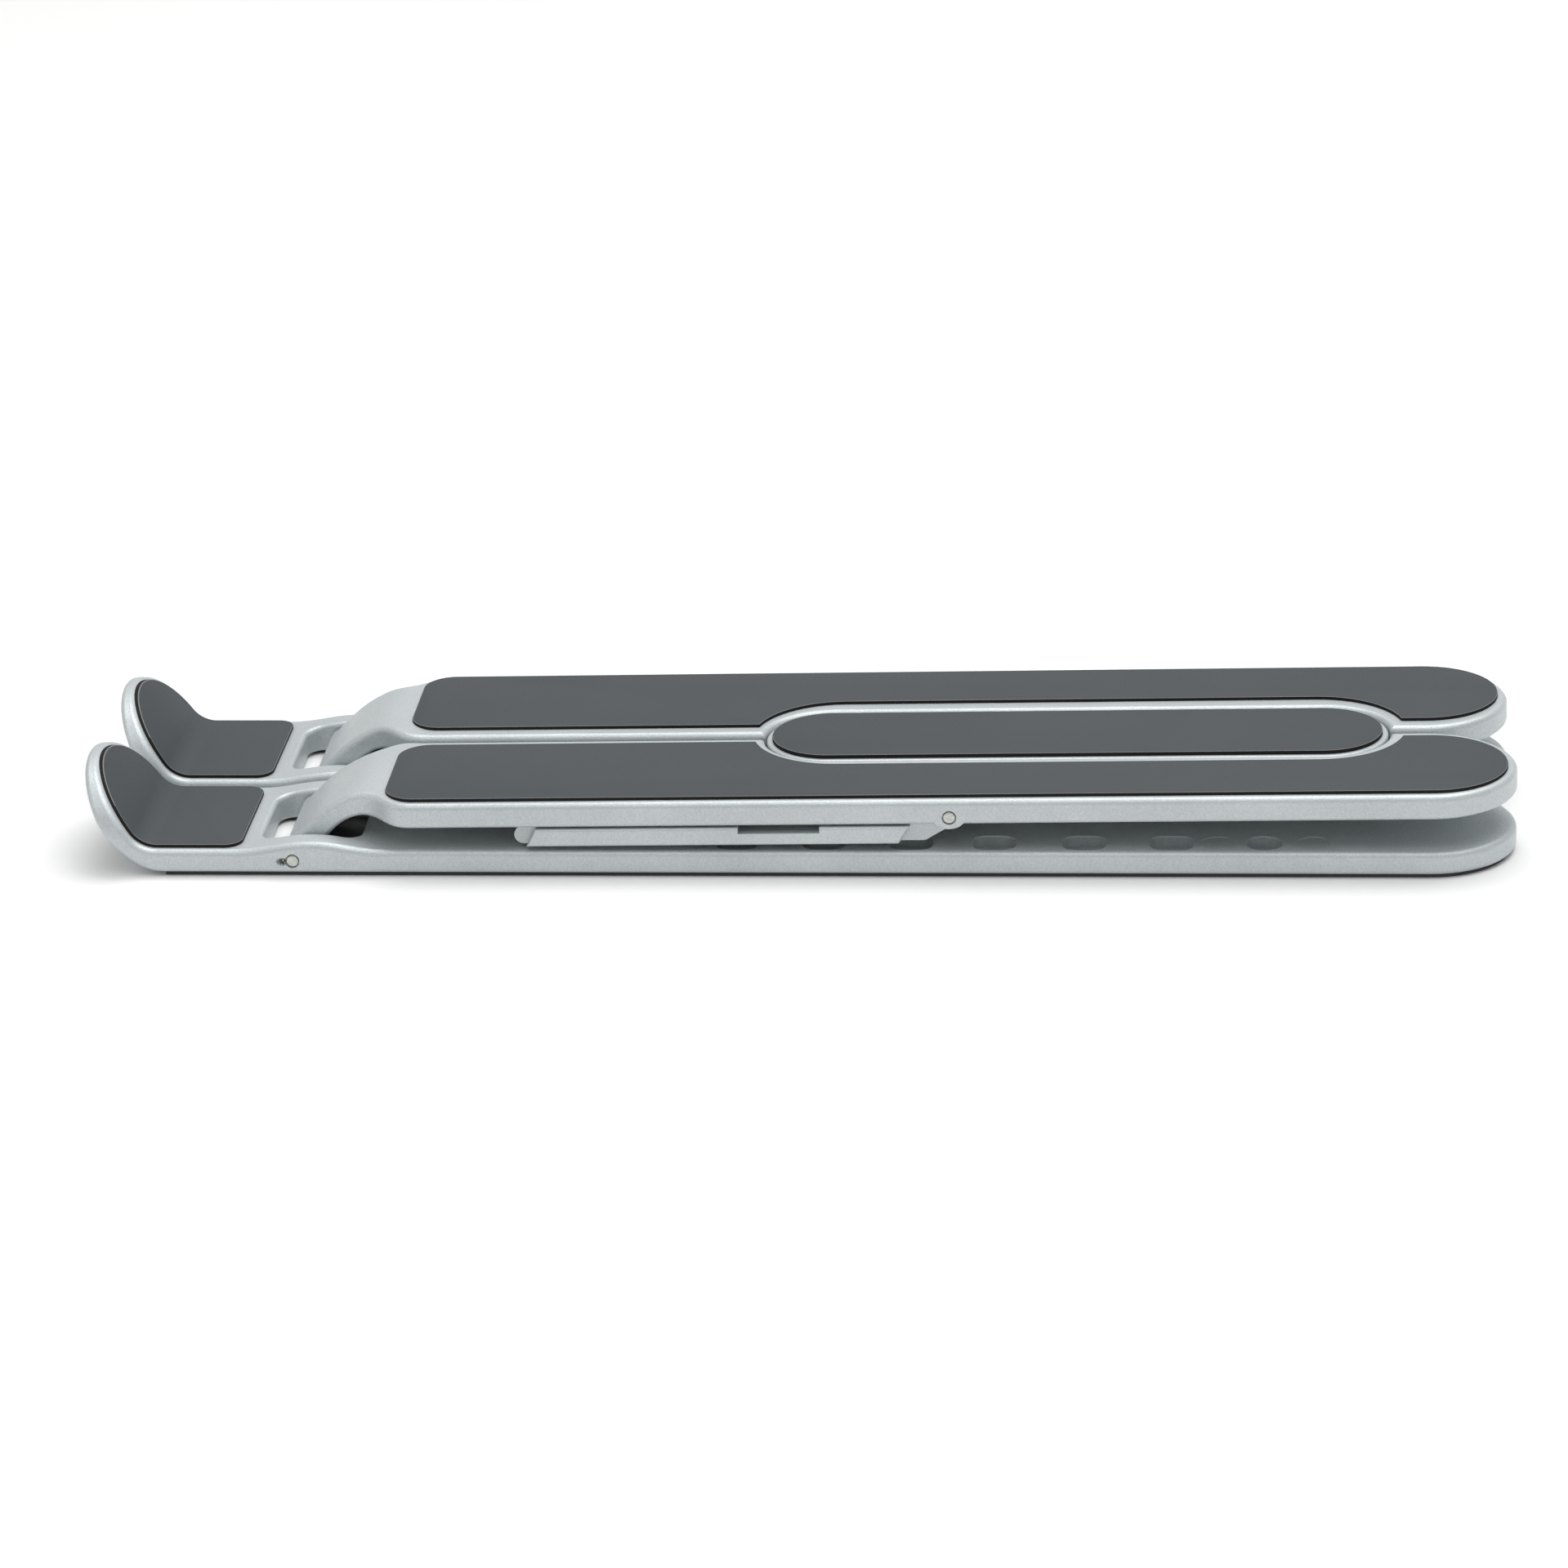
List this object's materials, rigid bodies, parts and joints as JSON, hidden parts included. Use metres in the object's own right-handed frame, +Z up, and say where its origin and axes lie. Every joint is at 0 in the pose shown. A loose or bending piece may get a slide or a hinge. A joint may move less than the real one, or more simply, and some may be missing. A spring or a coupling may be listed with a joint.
{
  "type": "folding laptop stand",
  "caption": "Pocket laptop stand shown folded: paired metal arms with padded hooks, hinged padded supports, fold-under props and a padded knee bar between them.",
  "frame": {"origin": "centre of the footprint, on the surface that the stand lies on", "axes": "+X along the arms from the hooks to the rear end, +Y across from the near arm to the far arm, +Z up"},
  "size_m": [0.2491, 0.0638, 0.0176],
  "materials": {
    "base_aluminium": "fine bead-blasted silver grey",
    "support_aluminium": "fine bead-blasted silver grey",
    "prop_aluminium": "fine bead-blasted silver grey",
    "link_aluminium": "fine bead-blasted silver grey",
    "pad_silicone": "smooth matt dark grey silicone",
    "foot_rubber": "matt dark rubber",
    "pin_steel": "ground steel",
    "washer_plastic": "plain nylon"
  },
  "bodies": {
    "far_base": {"far_base_arm": "base_aluminium", "far_hook_pad": "pad_silicone", "far_foot_pad": "foot_rubber", "far_hinge_pin": "pin_steel"},
    "far_support": {"far_support_arm": "support_aluminium", "far_support_pad": "pad_silicone", "far_prop_pin": "pin_steel"},
    "far_prop": {"far_prop": "prop_aluminium"},
    "link_top": {"link_top": "link_aluminium", "link_top_pad": "pad_silicone", "far_pivot_rivet": "pin_steel", "far_pivot_washer": "washer_plastic", "knee_rivet": "pin_steel", "knee_washer": "washer_plastic"},
    "link_bottom": {"link_bottom": "link_aluminium", "near_pivot_rivet": "pin_steel", "near_pivot_washer": "washer_plastic"},
    "near_support": {"near_support_arm": "support_aluminium", "near_support_pad": "pad_silicone", "near_prop_pin": "pin_steel"},
    "near_prop": {"near_prop": "prop_aluminium"},
    "near_base": {"near_base_arm": "base_aluminium", "near_hook_pad": "pad_silicone", "near_foot_pad": "foot_rubber", "near_hinge_pin": "pin_steel"}
  },
  "joints": [
    {"name": "lift", "type": "hinge", "parent": "far_base", "child": "far_support", "pos_m": [-0.08691, 0.0165, 0.00295], "axis": [0, -1, 0], "range_deg": [0, 75]},
    {"name": "far_prop_swing", "type": "hinge", "parent": "far_support", "child": "far_prop", "pos_m": [0.02718, 0.0165, 0.01121], "axis": [0, -1, 0], "range_deg": [0, 37.5]},
    {"name": "spread", "type": "hinge", "parent": "far_support", "child": "link_top", "pos_m": [0.005, 0, 0.01148], "axis": [0.0107, 0, -0.9999], "range_deg": [0, 90]},
    {"name": "knee", "type": "hinge", "parent": "link_top", "child": "link_bottom", "pos_m": [0.0916, 0, 0.01241], "axis": [0.0107, 0, -0.9999], "range_deg": [-180, 0]},
    {"name": "near_pivot", "type": "hinge", "parent": "link_bottom", "child": "near_support", "pos_m": [0.005, 0, 0.01148], "axis": [0.0107, 0, -0.9999], "range_deg": [0, 90]},
    {"name": "near_base_fold", "type": "hinge", "parent": "near_support", "child": "near_base", "pos_m": [-0.08691, -0.0165, 0.00295], "axis": [0, -1, 0], "range_deg": [-75, 0]},
    {"name": "near_prop_swing", "type": "hinge", "parent": "near_support", "child": "near_prop", "pos_m": [0.02718, -0.0165, 0.01121], "axis": [0, -1, 0], "range_deg": [0, 37.5]}
  ],
  "couplings": [
    {"joint": "far_prop_swing", "follows": "lift", "ratio": 0.5},
    {"joint": "near_prop_swing", "follows": "lift", "ratio": 0.5},
    {"joint": "near_base_fold", "follows": "lift", "ratio": -1},
    {"joint": "knee", "follows": "spread", "ratio": -2},
    {"joint": "near_pivot", "follows": "spread", "ratio": 1}
  ]
}
